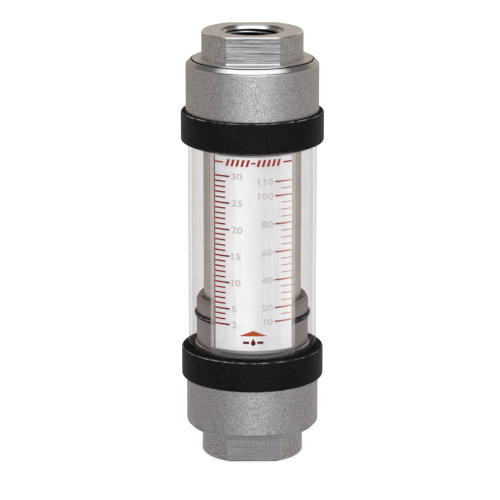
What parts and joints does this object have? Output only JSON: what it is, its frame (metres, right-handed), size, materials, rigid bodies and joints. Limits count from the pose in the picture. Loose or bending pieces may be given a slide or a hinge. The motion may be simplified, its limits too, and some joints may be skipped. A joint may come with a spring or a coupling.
{
  "type": "rotameter",
  "caption": "In-line spring-loaded variable-area oil flow meter: two threaded end fittings, clear guard with scale, and a magnetically coupled indicator ring on an inner metal tube.",
  "frame": {"origin": "centre of the inlet fitting's end face, on the meter's axis", "axes": "+Z along the flow, from inlet to outlet; the scale faces -Y"},
  "size_m": [0.0604, 0.0604, 0.183],
  "materials": {
    "fitting_aluminium": "bead-blasted satin, milled lines on the wrench flats",
    "cylinder_metal": "drawn tube, brushed round",
    "seal_rubber": "moulded",
    "inner_steel": "turned",
    "spring_steel": "drawn wire",
    "screw_steel": "plain",
    "piston_aluminium": "turned",
    "magnet": "sintered, dark grey",
    "indicator_metal": "turned, grey-brown",
    "band_rubber": "glossy moulded",
    "guard_clear": "clear polycarbonate tube with a faint warm tint",
    "bumper_rubber": "satin moulded",
    "support_clear": "clear polycarbonate strip",
    "scale_white": "white sheet with a printed scale"
  },
  "bodies": {
    "meter_body": {"inlet_fitting": "fitting_aluminium", "outlet_fitting": "fitting_aluminium", "pressure_cylinder": "cylinder_metal", "inlet_pressure_seal": "seal_rubber", "outlet_pressure_seal": "seal_rubber", "inlet_spider_plate": "inner_steel", "outlet_spider_plate": "inner_steel", "inlet_retaining_ring": "spring_steel", "outlet_retaining_ring": "spring_steel", "inlet_shaft_screw": "screw_steel", "outlet_shaft_screw": "screw_steel", "metering_shaft": "inner_steel", "return_spring": "spring_steel"},
    "piston": {"piston_carrier": "piston_aluminium", "orifice_plate": "inner_steel", "transfer_magnet": "magnet", "magnet_retainer": "piston_aluminium"},
    "indicator": {"indicator_sleeve": "indicator_metal", "indicator_magnet": "magnet", "indicator_band": "band_rubber"},
    "guard": {"guard_tube": "guard_clear", "lower_bumper": "bumper_rubber", "upper_bumper": "bumper_rubber", "scale_support": "support_clear", "scale_sheet": "scale_white"}
  },
  "joints": [
    {"name": "piston_slide", "type": "slide", "parent": "meter_body", "child": "piston", "axis": [0, 0, 1], "range_m": [0, 0.0645], "stiffness_N_per_m": 60, "springref_m": -0.02, "deforming": ["return_spring"]},
    {"name": "indicator_slide", "type": "slide", "parent": "meter_body", "child": "indicator", "axis": [0, 0, 1], "range_m": [0, 0.0645]},
    {"name": "guard_spin", "type": "hinge", "parent": "meter_body", "child": "guard", "pos_m": [0, 0, 0.0915], "axis": [0, 0, 1], "continuous": true}
  ],
  "couplings": [
    {"joint": "indicator_slide", "follows": "piston_slide", "ratio": 1}
  ]
}
